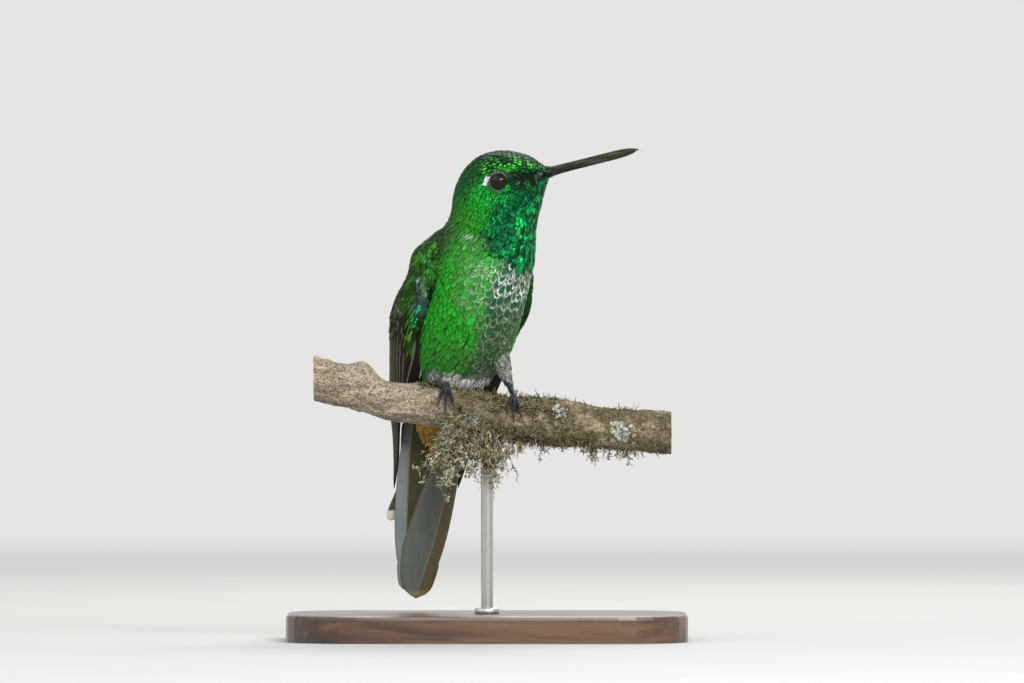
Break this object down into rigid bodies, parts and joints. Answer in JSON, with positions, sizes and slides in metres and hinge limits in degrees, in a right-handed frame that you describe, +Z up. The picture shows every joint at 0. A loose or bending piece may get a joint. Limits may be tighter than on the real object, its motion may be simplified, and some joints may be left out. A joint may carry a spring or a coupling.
{
  "type": "perched hummingbird display model",
  "caption": "Male rufous-vented whitetip hummingbird with forked tail and folded wings, life size, gripping a short cut branch held over a flat base by a rod",
  "frame": {"origin": "centre of the stand base's flat underside", "axes": "+Z up; X along the branch, +X the way the bill points; -Y the way the belly and feet face"},
  "size_m": [0.074, 0.048, 0.091],
  "materials": {
    "body_feathers": "satin",
    "gorget_feathers": "satin",
    "crown_feathers": "satin",
    "covert_feathers": "satin",
    "flight_feathers": "satin",
    "tail_feathers": "satin",
    "rufous_feathers": "matte",
    "thigh_down": "matte",
    "bill_horn": "satin",
    "foot_scales": "satin",
    "eye": "gloss",
    "bark": "matte",
    "stand_wood": "satin",
    "stand_steel": "satin"
  },
  "bodies": {
    "root": {"head": "crown_feathers", "neck": "gorget_feathers", "trunk": "body_feathers", "eye_left": "eye", "eye_right": "eye", "bill_upper": "bill_horn", "bill_lower": "bill_horn", "wing_left_coverts": "covert_feathers", "wing_right_coverts": "covert_feathers", "wing_left_primaries": "flight_feathers", "wing_right_primaries": "flight_feathers", "wing_left_secondaries": "flight_feathers", "wing_right_secondaries": "flight_feathers", "tail_outer_left": "tail_feathers", "tail_outer_right": "tail_feathers", "tail_middle_left": "tail_feathers", "tail_middle_right": "tail_feathers", "tail_inner_left": "tail_feathers", "tail_inner_right": "tail_feathers", "undertail_coverts": "rufous_feathers", "uppertail_coverts": "body_feathers", "thigh_left": "thigh_down", "thigh_right": "thigh_down", "foot_left": "foot_scales", "foot_right": "foot_scales", "perch": "bark", "stand_base": "stand_wood", "stand_rod": "stand_steel"}
  },
  "joints": []
}
